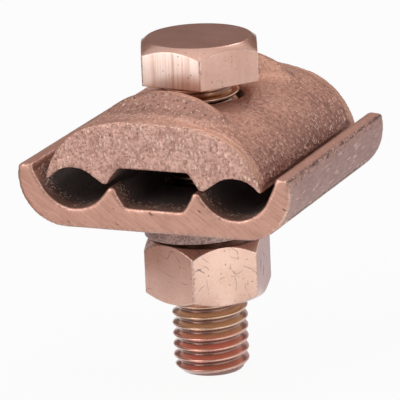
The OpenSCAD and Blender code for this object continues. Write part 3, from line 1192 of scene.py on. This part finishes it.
@dataclass
class HexNut(HexPiece):
    """Nut with a chamfer on both sides."""

    low_z: float = NUT_Z
    height: float = NUT_HEIGHT
    turn: float = 10.0
    bore_r: float = THREAD_D / 2 + 0.05
    mouth: float = 0.54
    top_deg: float = 48.0

    def section(self, angle: float) -> Section:
        """Give the nut's section as a loop.

        Args:
            angle: direction about the axis, in radians.

        Returns:
            Its corners as radius and height, in millimetres.
        """
        out, face = self.reach(angle, self.turn), self.face_d / 2
        low_cut, top_cut = ((out - face) * math.tan(math.radians(deg)) for deg in (self.chamfer_deg, self.top_deg))
        low, top, wide = self.low_z, self.low_z + self.height, self.bore_r + self.mouth
        below = [(self.bore_r, low + self.mouth), (wide, low), (face, low), (out, low + low_cut)]
        return [*below, (out, top - top_cut), (face, top), (wide, top), (self.bore_r, top - self.mouth)]

    def shape(self, piece: Thing) -> None:
        """Make the nut.

        Args:
            piece: the piece to shape.
        """
        self.loft(piece.data, self.section, True)
        self.mark_hexagon(piece.data, self.turn, 0.0)
        shade(piece.data)


@dataclass
class SpringWasher(Piece):
    """Split washer in its free state: one turn of a square-edged wire."""

    low_z: float = WASHER_Z
    inner_r: float = THREAD_D / 2 + 0.25
    width: float = 3.5
    thickness: float = 2.4
    free_height: float = WASHER_HEIGHT
    split_deg: float = 9.0
    turn_deg: float = 196.0
    edge_r: float = 0.25
    edge_steps: int = 3
    steps: int = 121
    merge: float = 0.001

    def shape(self, piece: Thing) -> None:
        """Bend the wire into its turn.

        Args:
            piece: the piece to shape.
        """
        sizes = {
            "Middle Radius": (self.inner_r + self.width / 2) * MM,
            "Width": self.width * MM,
            "Thickness": self.thickness * MM,
            "Rise": (self.free_height - self.thickness) * MM,
            "Turn": 1.0 - self.split_deg / 360.0,
            "Edge": self.edge_r * MM,
            "Low": (self.low_z + self.thickness / 2) * MM,
            "Start": math.radians(self.turn_deg),
            "Material": self.finish.material(),
        }
        tree = Tree("washer_coil", sizes)
        line = tree.wire("GeometryNodeCurvePrimitiveLine", {"Start": (0, 0, 0), "End": (1, 0, 0)}, mode="POINTS")
        line = tree.wire("GeometryNodeResampleCurve", {"Curve": line, "Count": self.steps}, mode="COUNT")
        share = tree.spread(tree.wire("GeometryNodeInputPosition"))[0]
        angle = tree.take("Start") + share * tree.take("Turn") * math.tau
        spot = tree.around(tree.take("Middle Radius"), angle, tree.take("Low") + share * tree.take("Rise"))
        coil = tree.wire("GeometryNodeSetPosition", {"Geometry": line, "Position": spot})
        coil = tree.wire("GeometryNodeSetCurveNormal", {0: coil}, mode="Z_UP")
        sides = {"Width": tree.take("Width"), "Height": tree.take("Thickness")}
        wire = tree.wire("GeometryNodeCurvePrimitiveQuadrilateral", sides, mode="RECTANGLE")
        rounding = {"Curve": wire, "Radius": tree.take("Edge"), "Count": self.edge_steps}
        wire = tree.wire("GeometryNodeFilletCurve", rounding, mode="POLY")
        bent = {"Curve": coil, "Profile Curve": wire, "Fill Caps": True}
        tree.put_on(piece, tree.wire("GeometryNodeCurveToMesh", bent))
        outward(piece.data, self.merge)


def direction(azimuth: float, elevation: float) -> Vector:
    """Give the direction to something so many degrees round the connector, from the front, and above it."""
    a, e = math.radians(azimuth), math.radians(elevation)
    return Vector((math.sin(a) * math.cos(e), -math.cos(a) * math.cos(e), math.sin(e)))


def stage_sheet(name: str, corners: list[Any], material: Material) -> Thing:
    """Set up a flat sheet that isn't part of the connector.

    Args:
        name: the sheet's name.
        corners: its four corners, in metres.
        material: what it is made of.

    Returns:
        The sheet.
    """
    mesh = bpy.data.meshes.new(name)
    mesh.from_pydata(corners, [], [(0, 1, 2, 3)])
    mesh.materials.append(material)
    sheet = add(name, mesh)
    return sheet


@dataclass(frozen=True)
class Stand:
    """Something that stands round the connector: its direction in degrees, distance and size in metres."""

    name: str
    azimuth: float
    elevation: float
    distance: float
    width: float
    height: float


@dataclass(frozen=True)
class Lamp(Stand):
    """A soft box, with its power in watts."""

    power: float

    def place(self, centre: Vector) -> None:
        """Set the lamp up, turned to the connector.

        Args:
            centre: what it shines on.
        """
        light = bpy.data.lights.new(self.name, "AREA")
        light.shape = "RECTANGLE"
        light.size, light.size_y, light.energy = self.width, self.height, self.power
        lamp = add(self.name, light)
        out = direction(self.azimuth, self.elevation)
        lamp.location = centre + out * self.distance
        lamp.rotation_euler = (-out).to_track_quat("-Z", "Y").to_euler()
        lamp.visible_camera = False


@dataclass(frozen=True)
class Screen(Stand):
    """A plain card, seen only in reflections."""

    tone: Colour

    def place(self, centre: Vector) -> None:
        """Stand the card up, turned to the connector.

        Args:
            centre: what it faces.
        """
        out, side = direction(self.azimuth, self.elevation), direction(self.azimuth + 90.0, 0.0)
        middle = centre + out * self.distance
        wide, high = side * (self.width / 2), side.cross(-out) * (self.height / 2)
        made = bpy.data.materials.new(self.name)
        graph = Graph(emptied(made))
        shown = graph.wire("ShaderNodeEmission", {"Color": (*self.tone, 1.0), "Strength": 1.0})
        graph.node("ShaderNodeOutputMaterial", {"Surface": shown})
        corners = [middle - wide - high, middle + wide - high, middle + wide + high, middle - wide + high]
        card = stage_sheet(self.name, corners, made)
        card.visible_camera = card.visible_diffuse = card.visible_shadow = card.visible_transmission = False


@dataclass
class Studio:
    """Pale floor, soft lamps, cards for the metal to reflect, and the camera. Lengths are in metres."""

    lens: float = 376.023
    sensor: float = 36.0
    clip: Pair = (0.01, 20.0)
    camera_place: Triple = (0.247007, -0.577972, 0.208020)
    azimuth: float = 23.2157
    elevation: float = 16.0332
    roll: float = 2.3944
    aim_z: float = 0.033
    floor_size: float = 6.0
    paper: float = 0.8
    floor_white: float = 0.93
    ambient: float = 0.45
    stands: tuple[Lamp | Screen, ...] = (
        Lamp("key_box", -38.0, 38.0, 0.9, 0.6, 0.5, 2.2),
        Lamp("left_box", -38.0, 4.0, 0.36, 0.075, 0.16, 0.12),
        Lamp("right_box", 57.0, 4.0, 0.36, 0.10, 0.16, 0.12),
        Lamp("top_box", 10.0, 80.0, 0.9, 0.7, 0.5, 0.6),
        Lamp("back_box", 172.0, 50.0, 0.6, 0.10, 0.10, 0.35),
        Screen("brown_screen_back", 200.0, 24.0, 0.6, 0.95, 0.5, (0.22, 0.145, 0.13)),
        Screen("dark_screen_front", 10.0, 9.0, 0.5, 0.42, 0.3, (0.08, 0.07, 0.065)),
        Screen("grey_screen_left", -74.0, 0.0, 0.06, 0.075, 0.064, (0.34, 0.27, 0.25)),
        Screen("white_card_left", -40.0, -9.0, 0.12, 0.06, 0.042, (1.5, 1.48, 1.45)),
        Screen("white_card_right", 57.0, -25.0, 0.05, 0.05, 0.026, (1.48, 1.66, 1.64)),
        Screen("grey_card_back", 177.0, -25.0, 0.05, 0.05, 0.026, (0.6, 0.55, 0.58)),
    )

    def seen_direct(self, graph: Graph) -> Wire:
        """Give 1 where a surface is seen by the camera, in a reflection or through glass.

        Args:
            graph: the nodes that ask.

        Returns:
            1 or 0.
        """
        path = graph.node("ShaderNodeLightPath")
        names = ("Is Camera Ray", "Is Glossy Ray", "Is Transmission Ray")
        camera, glossy, through = (Wire(graph, path.outputs[name]) for name in names)
        return graph.math("ADD", camera + glossy, through, clamp=True)

    def floor(self) -> None:
        """Lay the pale floor, which shows white and keeps the connector's shadow."""
        made = bpy.data.materials.new("pale_paper")
        graph = Graph(emptied(made))
        paper = graph.wire("ShaderNodeBsdfDiffuse", {"Color": (self.paper, self.paper, self.paper, 1.0)})
        white = graph.wire("ShaderNodeEmission", {"Color": (1.0, 1.0, 1.0, 1.0), "Strength": 1.0})
        share = self.seen_direct(graph) * self.floor_white
        shown = graph.wire("ShaderNodeMixShader", {0: share, 1: paper, 2: white})
        graph.node("ShaderNodeOutputMaterial", {"Surface": shown})
        half = self.floor_size / 2
        stage_sheet("floor", [(-half, -half, 0), (half, -half, 0), (half, half, 0), (-half, half, 0)], made)

    def backdrop(self) -> None:
        """Make the surroundings: white to the eye, softer as light."""
        world = bpy.context.scene.world = bpy.data.worlds.new("studio")
        graph = Graph(emptied(world))
        strength = self.ambient + self.seen_direct(graph) * (1.0 - self.ambient)
        glow = graph.wire("ShaderNodeBackground", {"Color": (1.0, 1.0, 1.0, 1.0), "Strength": strength})
        graph.node("ShaderNodeOutputWorld", {"Surface": glow})

    def camera(self) -> None:
        """Set the camera where the photograph was taken from."""
        ahead, right = -direction(self.azimuth, self.elevation), direction(self.azimuth + 90.0, 0.0)
        down = ahead.cross(right)
        c, s = math.cos(math.radians(self.roll)), math.sin(math.radians(self.roll))
        turn = Matrix((c * right + s * down, s * right - c * down, -ahead)).transposed().to_4x4()
        data = bpy.data.cameras.new("camera")
        data.lens, data.sensor_width = self.lens, self.sensor
        data.clip_start, data.clip_end = self.clip
        camera = bpy.context.scene.camera = add("camera", data)
        camera.matrix_world = Matrix.Translation(self.camera_place) @ turn

    def build(self) -> None:
        """Set up the floor, the surroundings, the lamps, the cards and the camera."""
        self.floor()
        self.backdrop()
        for stand in self.stands:
            stand.place(Vector((0.0, 0.0, self.aim_z)))
        self.camera()
        bpy.context.scene.view_settings.view_transform = "Standard"


def main() -> None:
    """Build the connector piece by piece, and its studio."""
    logging.basicConfig(level=logging.INFO, format="%(name)s: %(message)s")
    plating = PlatedSteel()
    parts = (
        LowerJaw("lower_jaw_tray", "lower_jaw", Body.LOWER, "sawn_copper", SawnCopper(), swell=0.07),
        UpperJaw("upper_jaw_casting", "upper_jaw", Body.UPPER, "cast_copper", CastCopper()),
        HexBolt("bolt_with_thread", "hex_bolt", Body.BOLT, "plated_steel", plating, chamfer_deg=37.0),
        SpringWasher("split_washer", "spring_washer", Body.WASHER, "washer_steel", WasherSteel()),
        HexNut("nut_with_chamfers", "hex_nut", Body.NUT, "plated_steel", plating, face_d=17.9, chamfer_deg=36.0),
    )
    for part in parts:
        piece = part.build()
        piece.data.calc_loop_triangles()
        LOG.info("%s: %d triangles", piece.name, len(piece.data.loop_triangles))
    Studio().build()


if __name__ == "__main__":
    main()
